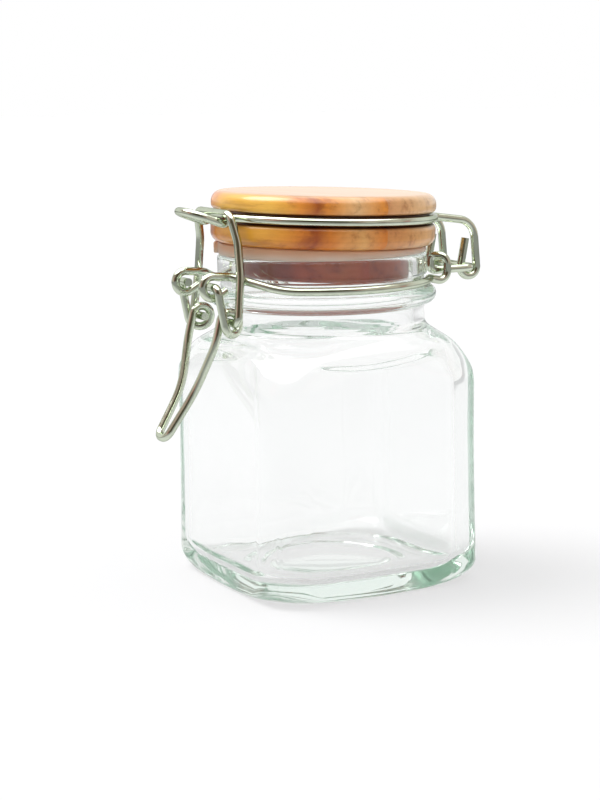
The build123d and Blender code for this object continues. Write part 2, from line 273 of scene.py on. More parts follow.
def rounded_profile(corners, steps=6):
    """Points (radius, level) along straight runs whose (radius, level, rounding) corners are rounded."""
    points = [Vector(corners[0][:2])]
    for index in range(1, len(corners) - 1):
        corner = Vector(corners[index][:2])
        rounding = corners[index][2]
        if not rounding:
            points.append(corner)
            continue
        back = (Vector(corners[index - 1][:2]) - corner).normalized()
        ahead = (Vector(corners[index + 1][:2]) - corner).normalized()
        half = back.angle(ahead) / 2
        centre = corner + (back + ahead).normalized() * (rounding / sin(half))
        start = corner + back * (rounding / tan(half)) - centre
        end = corner + ahead * (rounding / tan(half)) - centre
        turn = start.angle(end)
        for step in range(steps + 1):
            share = step / steps
            arm = (start * sin((1 - share) * turn) + end * sin(share * turn)) / sin(turn)
            points.append(centre + arm)
    points.append(Vector(corners[-1][:2]))
    return points


def split_runs(points, longest):
    """The points with long runs divided, so that no run is longer than given."""
    divided = [points[0]]
    for point in points[1:]:
        start = divided[-1]
        parts = max(1, int((point - start).length / longest + 1))
        divided += [start.lerp(point, part / parts) for part in range(1, parts + 1)]
    return divided


def spun(profile, steps):
    """A bmesh turned from a profile of (radius, level) points about the Z axis."""
    bm = bmesh.new()
    verts = [bm.verts.new((radius, 0, level)) for radius, level in profile]
    edges = [bm.edges.new(pair) for pair in zip(verts, verts[1:])]
    bmesh.ops.spin(
        bm, geom=verts + edges, axis=(0, 0, 1), cent=(0, 0, 0), dvec=(0, 0, 0),
        angle=2 * pi, steps=steps, use_merge=True, use_duplicate=False)
    bmesh.ops.remove_doubles(bm, verts=bm.verts, dist=MERGE_DISTANCE)
    bmesh.ops.recalc_face_normals(bm, faces=bm.faces)
    return bm


def finished_piece(bm, name, material, sharp_angle):
    """A mesh object from the bmesh, with its material and smooth shading but for its sharp edges."""
    mesh = bpy.data.meshes.new(name)
    bm.to_mesh(mesh)
    bm.free()
    mesh.materials.append(material)
    piece = bpy.data.objects.new(name, mesh)
    bpy.context.scene.collection.objects.link(piece)
    mesh.shade_smooth()
    mesh.set_sharp_from_angle(angle=sharp_angle)
    return piece


# Material helpers

WHITE = (1.0, 1.0, 1.0)
BLACK = (0.0, 0.0, 0.0)


def set_inputs(tree, node, inputs):
    """An input given as a socket is linked, and any other is set on the node."""
    for name, value in inputs.items():
        if isinstance(value, bpy.types.NodeSocket):
            tree.links.new(value, node.inputs[name])
        else:
            node.inputs[name].default_value = value


def add_node(tree, kind, inputs=None, **settings):
    """A shader node with its settings and inputs."""
    node = tree.nodes.new(f"ShaderNode{kind}")
    for name, value in settings.items():
        setattr(node, name, value)
    set_inputs(tree, node, inputs or {})
    return node


def empty_tree(owner):
    """The cleared node tree of a material or world."""
    owner.use_nodes = True
    owner.node_tree.nodes.clear()
    return owner.node_tree


def new_material(name):
    """A node material with a Principled shader and its output."""
    material = bpy.data.materials.new(name)
    tree = empty_tree(material)
    shader = add_node(tree, "BsdfPrincipled")
    output = add_node(tree, "OutputMaterial", {"Surface": shader.outputs["BSDF"]})
    return material, tree, shader, output


def object_pattern(tree, place=(0, 0, 0), turn=(0, 0, 0)):
    """Object coordinates turned about the origin and then moved."""
    coordinates = add_node(tree, "TexCoord").outputs["Object"]
    mapping = add_node(tree, "Mapping", {"Vector": coordinates, "Location": place, "Rotation": turn})
    return mapping.outputs["Vector"]


def stretched(tree, vector, scale, turn=0.0):
    """The vector turned about the upright axis and then scaled along each axis."""
    turned = add_node(tree, "Mapping", {"Vector": vector, "Rotation": (0, 0, -turn)}).outputs["Vector"]
    return add_node(tree, "Mapping", {"Vector": turned, "Scale": scale}).outputs["Vector"]


def along(tree, vector, axis):
    """One part, X, Y or Z, of a vector."""
    return add_node(tree, "SeparateXYZ", {"Vector": vector}).outputs[axis]


def noise_pattern(tree, vector, scale, detail=3.0, roughness=0.5):
    """A noise pattern on the vector, from 0 to 1."""
    inputs = {"Vector": vector, "Scale": scale, "Detail": detail, "Roughness": roughness}
    return add_node(tree, "TexNoise", inputs).outputs["Fac"]


def ramp(tree, value, stops):
    """A colour ramp of (position, colour) stops."""
    node = add_node(tree, "ValToRGB", {"Fac": value})
    elements = node.color_ramp.elements
    while len(elements) < len(stops):
        elements.new(0.5)
    for element, (position, colour) in zip(elements, stops):
        element.position = position
        element.color = (*colour, 1.0)
    return node.outputs["Color"]


def calculated(tree, operation, first, second):
    """A Math node on two numbers or sockets."""
    return add_node(tree, "Math", {0: first, 1: second}, operation=operation).outputs["Value"]


def product(tree, first, second):
    """Two numbers or sockets multiplied."""
    return calculated(tree, "MULTIPLY", first, second)


def rest_of(tree, value):
    """What is left of one when the value is taken away."""
    return calculated(tree, "SUBTRACT", 1.0, value)


def fade(tree, value, start, end, low=0.0, high=1.0, course="SMOOTHSTEP"):
    """A change from low to high as the value goes from start to end."""
    inputs = {"Value": value, "From Min": start, "From Max": end, "To Min": low, "To Max": high}
    return add_node(tree, "MapRange", inputs, interpolation_type=course).outputs["Result"]


def blended(tree, factor, first, second, blend="MIX"):
    """Two colours mixed; the factor and the colours may be sockets."""
    inputs = {0: factor}
    for number, colour in ((6, first), (7, second)):
        inputs[number] = colour if isinstance(colour, bpy.types.NodeSocket) else (*colour, 1.0)
    return add_node(tree, "Mix", inputs, data_type="RGBA", blend_type=blend).outputs[2]


def add_bump(tree, shader, height, strength, distance):
    """A bump on the shader's normal."""
    bump = add_node(tree, "Bump", {"Strength": strength, "Distance": distance, "Height": height})
    tree.links.new(bump.outputs["Normal"], shader.inputs["Normal"])


# Glass body

QUARTER_STEPS = 60
CORNER_STEPS = 28
HEEL_STEPS = 16
WALL_STEPS = 26
SHOULDER_STEPS = 30
INNER_HEEL_STEPS = 14
DOME_STEPS = 12

SIDE_BULGE = 0.25 * MM
FOOT_SPREAD = 0.25 * MM
WAIST = 0.15 * MM
HEEL = 5.0 * MM
HEEL_INSET = 2.0 * MM
LOW_CORNER = 22.0 * MM
BELOW_RIM = 28.7 * MM
SHOULDER = 12.5 * MM
CORNER_SOFTNESS = 0.14
SIDE_SOFTNESS = 0.08
OUTER_FOLDS = (0.26, 0.7)

INNER_CORNER = 7.5 * MM
INNER_HEEL = 4.0 * MM
INNER_HEEL_INSET = 3.5 * MM
INNER_LOW_CORNER = 13.0 * MM
INNER_FOLDS = (0.2, 0.6)
DOME = 0.9 * MM
DOME_RADIUS = 17.0 * MM
LEDGE_RISE = 7.4 * MM
LEDGE_HALF = 1.2 * MM
LEDGE_WAVE = 0.7 * MM
LEDGE_WAVES = 3
LEDGE_PHASE = radians(-54)
RIPPLE_SIZE = 11 * MM
SEAM_FOOT = 1.0 * MM
CREASE_HALF = 1.3 * MM
CREASE_ROUNDS = 6

Station = namedtuple("Station", "half corner roundness level")


def square_place(half, corner, step):
    """A place in the first quarter of a bowed square outline with round corners."""
    side = (QUARTER_STEPS - CORNER_STEPS) / 2
    straight = half - corner
    if step <= side:
        share = step / side
        return Vector((half - SIDE_BULGE * share ** 2, straight * share))
    if step >= QUARTER_STEPS - side:
        share = (QUARTER_STEPS - step) / side
        return Vector((straight * share, half - SIDE_BULGE * share ** 2))
    angle = pi / 2 * (step - side) / CORNER_STEPS
    radius = corner - SIDE_BULGE
    return Vector((straight + radius * cos(angle), straight + radius * sin(angle)))


def outline_place(station, column):
    """A place on the jar's outline: a bowed square that roundness turns into a circle."""
    quarter, step = divmod(column, QUARTER_STEPS)
    angle = pi / 2 * step / QUARTER_STEPS
    place = Vector((station.half * cos(angle), station.half * sin(angle)))
    if station.roundness < 1:
        place = square_place(station.half, station.corner, step).lerp(place, station.roundness)
    turned = Matrix.Rotation(pi / 2 * quarter, 2) @ place
    return Vector((turned.x, turned.y, station.level))


def heel_stations(half, corner, floor, height, inset, low_corner, steps):
    """Stations of the rounded heel, from the floor up to the wall."""
    stations = []
    for step in range(steps):
        angle = pi / 2 * step / steps
        left = 1 - sin(angle)
        level = floor + height * (1 - cos(angle))
        stations.append(Station(half - inset * left, corner + (low_corner - corner) * left, 0.0, level))
    return stations


def wall_stations(foot, top_half, corner, bottom, top):
    """Stations of the wall, a little wider at the foot and slightly waisted."""
    stations = []
    for step in range(WALL_STEPS):
        share = step / WALL_STEPS
        half = foot + (top_half - foot) * share - 4 * WAIST * share * (1 - share)
        stations.append(Station(half, corner, 0.0, bottom + (top - bottom) * share))
    return stations


def folded(share, fold, softness):
    """From 0 to 1: level up to the fold, then an even slope; softness rounds the fold."""
    def slope(place):
        return (place - fold + ((place - fold) ** 2 + softness ** 2) ** 0.5) / 2

    return (slope(share) - slope(0)) / (slope(1) - slope(0))


def shoulder_stations(half, corner, radius, bottom, folds):
    """Stations of the shoulder: first its corners fold inwards, and higher up its sides."""
    corner_fold, side_fold = folds
    stations = []
    for step in range(SHOULDER_STEPS + 1):
        share = step / SHOULDER_STEPS
        width = half - (half - radius) * folded(share, side_fold, SIDE_SOFTNESS)
        roundness = folded(share, corner_fold, CORNER_SOFTNESS)
        stations.append(Station(width, corner, roundness, bottom + SHOULDER * share))
    return stations


def round_stations(points):
    """Stations of a round stretch from (radius, level) points."""
    return [Station(radius, radius, 1.0, level) for radius, level in points]


# Glass base and neck

RECESS = 0.3 * MM
RECESS_START, RECESS_END = 12.0 * MM, 17.4 * MM
RECESS_INNER, RECESS_OUTER = 14.0 * MM, 15.4 * MM
RECESS_EDGE = 10 * MM
RECESS_CORNER = 5 * MM
BASE_START, BASE_END = 1.0 * MM, 19.0 * MM
BASE_RUN = 1.5 * MM

NECK_INSET = 4.35 * MM
NECK_WALL = 2.45 * MM
NECK_RUN = 1.0 * MM
NECK_BELOW_BEAD = 5.0 * MM
BEAD_HEIGHT = 3.5 * MM
BEAD_DEPTH = 2.6 * MM
WIRE_GROOVE = 2.8 * MM
LIP_DEPTH = 0.6 * MM
NECK_FILLET = 0.6 * MM
BEAD_UNDER = 1.75 * MM
BEAD_OVER = 1.6 * MM
BEAD_FILLET = 0.4 * MM
LIP_FILLET = 0.28 * MM
RIM_ROUNDING = 0.9 * MM


def underside_profile():
    """The flat underside with its shallow ring recess, from the middle outwards."""
    return rounded_profile([
        (BASE_START, 0, 0),
        (RECESS_START, 0, RECESS_EDGE),
        (RECESS_INNER, RECESS, RECESS_CORNER),
        (RECESS_OUTER, RECESS, RECESS_CORNER),
        (RECESS_END, 0, RECESS_EDGE),
        (BASE_END, 0, 0),
    ])


def neck_profile(neck, bore, shoulder_top, rim):
    """The neck from the shoulder up over bead, wire groove and rim, and down the bore."""
    bead_bottom = shoulder_top + NECK_BELOW_BEAD
    bead_top = bead_bottom + BEAD_HEIGHT
    lip_bottom = bead_top + WIRE_GROOVE
    bead = neck + BEAD_DEPTH
    lip = neck + LIP_DEPTH
    return rounded_profile([
        (neck, shoulder_top, 0),
        (neck, bead_bottom, NECK_FILLET),
        (bead, bead_bottom, BEAD_UNDER),
        (bead, bead_top, BEAD_OVER),
        (neck, bead_top, BEAD_FILLET),
        (neck, lip_bottom, LIP_FILLET),
        (lip, lip_bottom, LIP_FILLET),
        (lip, rim, RIM_ROUNDING),
        (bore, rim, RIM_ROUNDING),
        (bore, shoulder_top, 0),
    ], steps=8)


def dome_profile(floor):
    """The floor inside the jar, which rises a little to its middle."""
    points = []
    for step in range(DOME_STEPS, 0, -1):
        share = step / DOME_STEPS
        points.append((DOME_RADIUS * share, floor + DOME * (1 - share ** 2) ** 2))
    return points


def glass_stations(glass):
    """All stations of the jar: under the base, up the outside, over the rim and down the inside."""
    foot = glass.foot_width / 2
    half = foot - FOOT_SPREAD
    inner_foot = foot - glass.wall
    inner_half = half - glass.wall
    neck = half - NECK_INSET
    bore = neck - NECK_WALL
    wall_top = glass.height - BELOW_RIM
    neck_points = neck_profile(neck, bore, wall_top + SHOULDER, glass.height)
    outside = (
        round_stations(split_runs(underside_profile(), BASE_RUN))
        + heel_stations(foot, glass.corner, 0.0, HEEL, HEEL_INSET, LOW_CORNER, HEEL_STEPS)
        + wall_stations(foot, half, glass.corner, HEEL, wall_top)
        + shoulder_stations(half, glass.corner, neck, wall_top, OUTER_FOLDS)
        + round_stations(split_runs(neck_points, NECK_RUN)[1:])
    )
    inner_shoulder = shoulder_stations(inner_half, INNER_CORNER, bore, wall_top, INNER_FOLDS)
    inner_wall = wall_stations(inner_foot, inner_half, INNER_CORNER, glass.floor + INNER_HEEL, wall_top)
    inner_heel = heel_stations(
        inner_foot, INNER_CORNER, glass.floor, INNER_HEEL, INNER_HEEL_INSET, INNER_LOW_CORNER,
        INNER_HEEL_STEPS)
    inside = (
        inner_shoulder[::-1][1:] + inner_wall[::-1] + inner_heel[::-1]
        + round_stations(dome_profile(glass.floor))
    )
    return outside, inside


def ledge_rise(glass, place):
    """How far the wavy ledge inside the shoulder stands inwards at a place on the inner wall."""
    middle = glass.height - BELOW_RIM + LEDGE_RISE
    middle += LEDGE_WAVE * sin(LEDGE_WAVES * atan2(place.y, place.x) + LEDGE_PHASE)
    return glass.ledge * exp(-((place.z - middle) / LEDGE_HALF) ** 2)


def glass_mesh(glass):
    """The jar as one closed wall of glass, extruded ring by ring."""
    outside, inside = glass_stations(glass)
    shoulder_top = glass.height - BELOW_RIM + SHOULDER
    columns = 4 * QUARTER_STEPS
    seams = (QUARTER_STEPS * 3 // 2, QUARTER_STEPS * 7 // 2)
    bm = bmesh.new()
    column_layer = bm.verts.layers.int.new("column")
    bmesh.ops.create_circle(bm, cap_ends=False, segments=columns, radius=outside[0].half)
    bm.verts.ensure_lookup_table()
    for column, vert in enumerate(bm.verts):
        vert[column_layer] = column
        vert.co = outline_place(outside[0], column)
    first_ring = edges = list(bm.edges)
    for number, station in enumerate((outside + inside)[1:], 1):
        grown = bmesh.ops.extrude_edge_only(bm, edges=edges)["geom"]
        edges = [item for item in grown if isinstance(item, bmesh.types.BMEdge)]
        for vert in (item for item in grown if isinstance(item, bmesh.types.BMVert)):
            column = vert[column_layer]
            place = outline_place(station, column)
            outward = Vector((place.x, place.y, 0)).normalized()
            if number >= len(outside):
                uneven = glass.ripple * noise.noise(place / RIPPLE_SIZE)
                place += outward * (uneven - ledge_rise(glass, place))
            elif column in seams and SEAM_FOOT < station.level < shoulder_top:
                place += outward * glass.seam
            vert.co = place
    for ring in (first_ring, edges):
        cap = bmesh.ops.edgeloop_fill(bm, edges=ring)["faces"]
        bmesh.ops.poke(bm, faces=cap)
    creases = [vert for vert in bm.verts if abs(vert.co.z - shoulder_top) < CREASE_HALF]
    for _ in range(CREASE_ROUNDS):
        bmesh.ops.smooth_vert(
            bm, verts=creases, factor=0.5, use_axis_x=True, use_axis_y=True, use_axis_z=True)
    bmesh.ops.recalc_face_normals(bm, faces=bm.faces)
    return bm


def glass_material(glass):
    """Clear soda glass that turns green where light goes far through it."""
    material, tree, shader, output = new_material("clear_glass")
    set_inputs(tree, shader, {
        "Base Color": (*WHITE, 1.0), "Roughness": 0.0, "IOR": 1.5, "Transmission Weight": 1.0})
    body = add_node(tree, "VolumeAbsorption", {"Color": (*glass.tint, 1.0), "Density": glass.tint_depth})
    tree.links.new(body.outputs["Volume"], output.inputs["Volume"])
    return material


class JAR_OT_glass(bpy.types.Operator):
    """Makes the pressed glass jar"""

    bl_idname = "spice_jar.glass"
    bl_label = "Glass jar"

    def execute(self, context):
        glass = context.scene.spice_jar.glass
        piece = finished_piece(glass_mesh(glass), "pressed_glass", glass_material(glass), radians(60))
        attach(piece, "jar")
        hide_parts("glass_jar")
        return {"FINISHED"}


# Lid

LID_SEAT = 0.6 * MM
LOWER_BAND = 4.95 * MM
GROOVE_WIDTH = 2.2 * MM
UPPER_BAND = 4.25 * MM
GROOVE_DEPTH = 1.4 * MM
PLUG_RADIUS = 19.3 * MM
PLUG_DEPTH = 7.2 * MM
PLUG_EDGE = 1.2 * MM
PLUG_FILLET = 0.3 * MM
LOWER_EDGE = 2.2 * MM
UPPER_EDGE = 2.4 * MM
GROOVE_EDGE = 1.3 * MM
GROOVE_FILLET = 0.1 * MM
LID_RUN = 4 * MM
LID_STEPS = 160

BOARD_JOINT = -5.3 * MM
BOARD_FADE = 14 * MM
GRAIN_WANDER = 9 * MM
TURNING_SCALE = (5, 5, 1400)
STREAK_SCALE = (22, 420, 420)
BROAD_SCALE = (14, 90, 60)
STREAK_STOPS = [(0.32, (0.68, 0.56, 0.44)), (0.46, (0.94, 0.92, 0.9)), (0.7, (1.08, 1.1, 1.12))]
TURNING_STOPS = [(0.35, (0.86, 0.82, 0.78)), (0.6, WHITE)]
TURNING_SHARE = 0.6
TURNING_DEPTH = 0.04 * MM
STREAK_SHARES = (0.95, 0.5)
TOP_SHARE = 0.75
TOP_FADE_START = 0.6 * MM
TOP_FADE_END = 0.05 * MM
SHADE_NEAR = 0.1 * MM
SHADE_FAR = 0.7 * MM

LidLevels = namedtuple("LidLevels", "seat groove_bottom groove_top top")


def lid_levels(settings):
    """Heights of the level lid's faces, before the gasket tilts it."""
    seat = settings.glass.height + LID_SEAT
    groove_bottom = seat + LOWER_BAND
    groove_top = groove_bottom + GROOVE_WIDTH
    return LidLevels(seat, groove_bottom, groove_top, groove_top + UPPER_BAND)


def lid_profile(radius, levels):
    """The turned lid from the middle of the plug's underside round to the middle of the top."""
    groove = radius - GROOVE_DEPTH
    plug_bottom = levels.seat - PLUG_DEPTH
    return rounded_profile([
        (0, plug_bottom, 0),
        (PLUG_RADIUS, plug_bottom, PLUG_EDGE),
        (PLUG_RADIUS, levels.seat, PLUG_FILLET),
        (radius, levels.seat, LOWER_EDGE),
        (radius, levels.groove_bottom, GROOVE_EDGE),
        (groove, levels.groove_bottom, GROOVE_FILLET),
        (groove, levels.groove_top, GROOVE_FILLET),
        (radius, levels.groove_top, GROOVE_EDGE),
        (radius, levels.top, UPPER_EDGE),
        (0, levels.top, 0),
    ], steps=9)


def lift(bm, tilt):
    """Turns the level lid about the hinge bar to the place where the gasket holds it."""
    turn = Matrix.Rotation(-tilt, 3, "X")
    bmesh.ops.rotate(bm, cent=HINGE_PLACE, matrix=turn, verts=bm.verts)


def two_boards(tree, lid, across, broad):
    """The colours of two boards that are glued side by side, each with its own figure."""
    wander = product(tree, calculated(tree, "SUBTRACT", broad, 0.5), GRAIN_WANDER)
    place = calculated(tree, "ADD", across, wander)
    growth = fade(tree, place, -lid.radius, BOARD_JOINT, course="LINEAR")
    first = ramp(tree, growth, [
        (0.0, lid.wood_pale), (0.22, lid.wood), (0.34, lid.wood_dark), (0.44, lid.wood),
        (0.72, lid.board), (1.0, lid.wood)])
    near_joint = fade(tree, across, BOARD_JOINT, BOARD_JOINT + BOARD_FADE, 1.0, 0.0)
    second = blended(tree, product(tree, near_joint, broad), lid.board, lid.board_dark)
    beyond = calculated(tree, "GREATER_THAN", across, BOARD_JOINT)
    return blended(tree, beyond, first, second)


def wood_material(lid, levels):
    """Lacquered wood of two boards, with streaks along the grain and turning lines, painted shade in the
    groove, on the lower band and on the plug, and a top painted paler as painted light from above.
    """
    material, tree, shader, _ = new_material("lacquered_wood")
    turn = Matrix.Rotation(lid.tilt, 3, "X")
    level = object_pattern(tree, HINGE_PLACE - turn @ HINGE_PLACE, (lid.tilt, 0, 0))
    height = along(tree, level, "Z")
    across = along(tree, stretched(tree, level, (1, 1, 1), lid.grain), "Y")
    turned = stretched(tree, level, TURNING_SCALE)
    turning = noise_pattern(tree, turned, 1.0, detail=4.0, roughness=0.6)
    along_grain = stretched(tree, level, STREAK_SCALE, lid.grain)
    streaks = noise_pattern(tree, along_grain, 1.0, detail=5.0, roughness=0.6)
    broad = noise_pattern(tree, stretched(tree, level, BROAD_SCALE, lid.grain), 1.0, detail=2.0)
    # Painted light: the top is blended towards paler wood and its streaks are weakened, as glare from
    # above.
    top_light_mask = fade(tree, height, levels.top - TOP_FADE_START, levels.top - TOP_FADE_END, 0.0, TOP_SHARE)
    boards = blended(tree, top_light_mask, two_boards(tree, lid, across, broad), lid.top_painted_light)
    streak_share = fade(tree, top_light_mask, 0.0, TOP_SHARE, *STREAK_SHARES)
    colour = blended(tree, streak_share, boards, ramp(tree, streaks, STREAK_STOPS), "MULTIPLY")
    colour = blended(tree, TURNING_SHARE, colour, ramp(tree, turning, TURNING_STOPS), "MULTIPLY")
    # Painted shade on the lower band, under the upper band and the ring.
    lower_band_shade_mask = fade(tree, height, levels.groove_bottom, levels.groove_top, 1.0, 0.0)
    # Painted shade inside the groove, above and below the ring.
    above = fade(tree, height, levels.groove_bottom - SHADE_FAR, levels.groove_bottom - SHADE_NEAR)
    below = fade(tree, height, levels.groove_top + SHADE_NEAR, levels.groove_top + SHADE_FAR, 1.0, 0.0)
    # Painted shade on the plug, below the lid's seat.
    plug_shade_mask = fade(tree, height, levels.seat - SHADE_NEAR, levels.seat, 1.0, 0.0)
    for place, tone in (
        (lower_band_shade_mask, lid.lower_band_shade),
        (product(tree, above, below), lid.groove_shade),
        (plug_shade_mask, lid.plug_shade),
    ):
        colour = blended(tree, place, colour, tone, "MULTIPLY")
    set_inputs(tree, shader, {
        "Base Color": colour, "Roughness": 0.36, "Coat Weight": 0.6, "Coat Roughness": 0.13})
    add_bump(tree, shader, turning, 0.22, TURNING_DEPTH)
    return material


class JAR_OT_lid(bpy.types.Operator):
    """Turns the wooden lid with its two bands, groove and plug"""

    bl_idname = "spice_jar.lid"
    bl_label = "Wooden lid"

    def execute(self, context):
        settings = context.scene.spice_jar
        levels = lid_levels(settings)
        bm = spun(split_runs(lid_profile(settings.lid.radius, levels), LID_RUN), LID_STEPS)
        lift(bm, settings.lid.tilt)
        piece = finished_piece(bm, "turned_lid", wood_material(settings.lid, levels), radians(50))
        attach(piece, "lid")
        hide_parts("wooden_lid")
        return {"FINISHED"}


# Gasket

GASKET_INNER = 20.0 * MM
GASKET_OUTER = 23.2 * MM
GASKET_THICKNESS = 2.0 * MM
GASKET_EDGE = 0.45 * MM
GASKET_RUN = 0.8 * MM
GASKET_STEPS = 144
TAB_WIDTH = 4 * MM
TAB_LENGTH = 2.4 * MM
TAB_THICKNESS_SHARE = 0.9
TAB_OVERLAP = 0.4 * MM
TAB_EDGE = 0.3 * MM
TAB_TURN = radians(-30)
CLOUD_SCALE = 150.0
WOOD_REFLECTION_START = 0.3 * MM
WOOD_REFLECTION_SHARE = 0.8
SILICONE_DEPTHS = (4.0 * MM, 3.0 * MM, 2.5 * MM)


def even_gasket():
    """The gasket at one thickness all round, with its bevelled pull tab."""
    middle = (GASKET_INNER + GASKET_OUTER) / 2
    profile = rounded_profile([
        (middle, 0, 0),
        (GASKET_OUTER, 0, GASKET_EDGE),
        (GASKET_OUTER, GASKET_THICKNESS, GASKET_EDGE),
        (GASKET_INNER, GASKET_THICKNESS, GASKET_EDGE),
        (GASKET_INNER, 0, GASKET_EDGE),
        (middle, 0, 0),
    ], steps=5)
    bm = spun(split_runs(profile, GASKET_RUN), GASKET_STEPS)
    tab = bmesh.ops.create_cube(bm, size=1.0)["verts"]
    bmesh.ops.scale(
        bm, vec=(TAB_WIDTH, TAB_LENGTH, GASKET_THICKNESS * TAB_THICKNESS_SHARE), verts=tab)
    bmesh.ops.translate(bm, vec=(0, TAB_OVERLAP - GASKET_OUTER, GASKET_THICKNESS / 2), verts=tab)
    bmesh.ops.rotate(bm, cent=(0, 0, 0), matrix=Matrix.Rotation(TAB_TURN, 3, "Z"), verts=tab)
    tab_edges = list({edge for vert in tab for edge in vert.link_edges})
    bmesh.ops.bevel(
        bm, geom=tab_edges, offset=TAB_EDGE, segments=3, profile=0.5, affect="EDGES", material=-1)
    return bm


def press_to_wedge(bm, rim, tilt):
    """Lowers or lifts the gasket's upper side until it meets the tilted lid."""
    under = rim + LID_SEAT - HINGE_PLACE.z
    for vert in bm.verts:
        lid_level = HINGE_PLACE.z + under / cos(tilt) - (vert.co.y - HINGE_PLACE.y) * tan(tilt)
        vert.co.z = rim + (lid_level - rim) * vert.co.z / GASKET_THICKNESS


def silicone_material(lid, bottom, top):
    """Milky translucent silicone, with a painted reflection of the wood's colour towards the lid."""
    material, tree, shader, _ = new_material("milky_silicone")
    pattern = object_pattern(tree)
    cloud = noise_pattern(tree, pattern, CLOUD_SCALE, detail=2.0)
    milky = ramp(tree, cloud, [(0.3, lid.silicone), (0.7, lid.silicone_pale)])
    # Painted reflection of the wood, stronger towards the lid.
    wood_reflection_mask = fade(tree, along(tree, pattern, "Z"), bottom, top, 0.0, WOOD_REFLECTION_SHARE)
    set_inputs(tree, shader, {
        "Base Color": blended(tree, wood_reflection_mask, milky, lid.silicone_wood_reflection), "Roughness": 0.38,
        "Transmission Weight": 0.35, "Subsurface Weight": 0.3,
        "Subsurface Radius": SILICONE_DEPTHS})
    return material


class JAR_OT_gasket(bpy.types.Operator):
    """Makes the wedge-shaped gasket with its pull tab"""

    bl_idname = "spice_jar.gasket"
    bl_label = "Gasket"

    def execute(self, context):
        settings = context.scene.spice_jar
        rim = settings.glass.height
        bm = even_gasket()
        press_to_wedge(bm, rim, settings.lid.tilt)
        material = silicone_material(settings.lid, rim + WOOD_REFLECTION_START, rim + GASKET_THICKNESS)
        piece = finished_piece(bm, "soft_gasket", material, radians(50))
        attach(piece, "lid")
        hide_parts("gasket")
        return {"FINISHED"}


# Closure wires

DULL_PATCH_SCALE = 260.0
DULL_TIMES = 1.8
PALE_TIMES = 1.15
SCRATCH_SCALE = 2200.0
SCRATCH_DEPTH = 0.01 * MM


def steel_material(wire):
    """Bright drawn steel with dull patches and fine scratches."""
    material, tree, shader, _ = new_material("bright_wire")
    pattern = object_pattern(tree)
    patches = noise_pattern(tree, pattern, DULL_PATCH_SCALE)
    scratches = noise_pattern(tree, pattern, SCRATCH_SCALE, detail=2.0)
    pale = tuple(min(1.0, channel * PALE_TIMES) for channel in wire.steel)
    set_inputs(tree, shader, {
        "Base Color": ramp(tree, patches, [(0.3, wire.steel), (0.7, pale)]),
        "Roughness": fade(tree, patches, 0.35, 0.75, wire.roughness, wire.roughness * DULL_TIMES),
        "Metallic": 1.0,
        "Specular Tint": (*wire.steel_rim, 1.0)})
    add_bump(tree, shader, scratches, 0.12, SCRATCH_DEPTH)
    return material


class JAR_OT_wires(bpy.types.Operator):
    """Gives the four closure wires their bright steel"""

    bl_idname = "spice_jar.wires"
    bl_label = "Closure wires"

    def execute(self, context):
        material = steel_material(context.scene.spice_jar.wire)
        for node in ("neck_wire", "lid_wire", "lever_wire", "bail_wire"):
            for slot in frame["nodes"][node].material_slots:
                slot.material = material
        return {"FINISHED"}


# Stage

AIR_GAP = 0.1 * MM
FLOOR_SIDES = 64
SENSOR_HEIGHT = 24.0
NEAREST_VIEW = 0.01
KEY_SIDE = (-0.42, -0.5, 1.0)
GREY_SIDES = (-0.75, 0.1)
PATCH_SCALE = 2.6
PATCH_EDGE = (0.52, 0.6)
WARM_SCALE = 3.7
WARM_EDGE = (0.45, 0.55)
PATCHED_SIDE = (-0.5, 0.0)
CEILING_EDGE = (0.72, 0.82)


def light_path(tree):
    """Three switches: seen and not lighting matte surfaces, mirrored, and mirrored inside the glass."""
    path = add_node(tree, "LightPath")
    seen = calculated(tree, "MAXIMUM", path.outputs["Is Camera Ray"], path.outputs["Is Glossy Ray"])
    seen = calculated(tree, "MAXIMUM", seen, path.outputs["Is Transmission Ray"])
    first = calculated(tree, "LESS_THAN", path.outputs["Diffuse Depth"], 0.5)
    mirrored = calculated(tree, "GREATER_THAN", path.outputs["Glossy Depth"], 0.5)
    inside = calculated(tree, "GREATER_THAN", path.outputs["Transmission Depth"], 0.5)
    return product(tree, seen, first), mirrored, product(tree, mirrored, inside)


def floor_material(stage):
    """A pale floor that keeps the jar's shadow, white in plain view, with its far parts mirrored darker."""
    material = bpy.data.materials.new("pale_floor")
    tree = empty_tree(material)
    in_view, mirrored, inside = light_path(tree)
    darker = product(tree, mirrored, rest_of(tree, product(tree, inside, stage.inner_floor)))
    place = add_node(tree, "TexCoord").outputs["Object"]
    lit_middle = (-stage.lit_shift * sin(stage.dark_turn), stage.lit_shift * cos(stage.dark_turn), 0)
    away = add_node(tree, "VectorMath", {0: place, 1: lit_middle}, operation="DISTANCE").outputs["Value"]
    lit = fade(tree, away, stage.lit_inner, stage.lit_outer, stage.mirrored_floor, stage.far_floor)
    level = rest_of(tree, product(tree, darker, rest_of(tree, lit)))
    share = product(tree, level, fade(tree, in_view, 0.0, 1.0, 1.0, stage.floor_share))
    matte = add_node(tree, "BsdfDiffuse", {"Color": blended(tree, share, BLACK, stage.floor_colour)})
    strength = product(tree, product(tree, in_view, level), stage.floor_lift)
    lift_light = add_node(tree, "Emission", {"Strength": strength})
    both = add_node(tree, "AddShader", {0: matte.outputs["BSDF"], 1: lift_light.outputs["Emission"]})
    add_node(tree, "OutputMaterial", {"Surface": both.outputs["Shader"]})
    return material


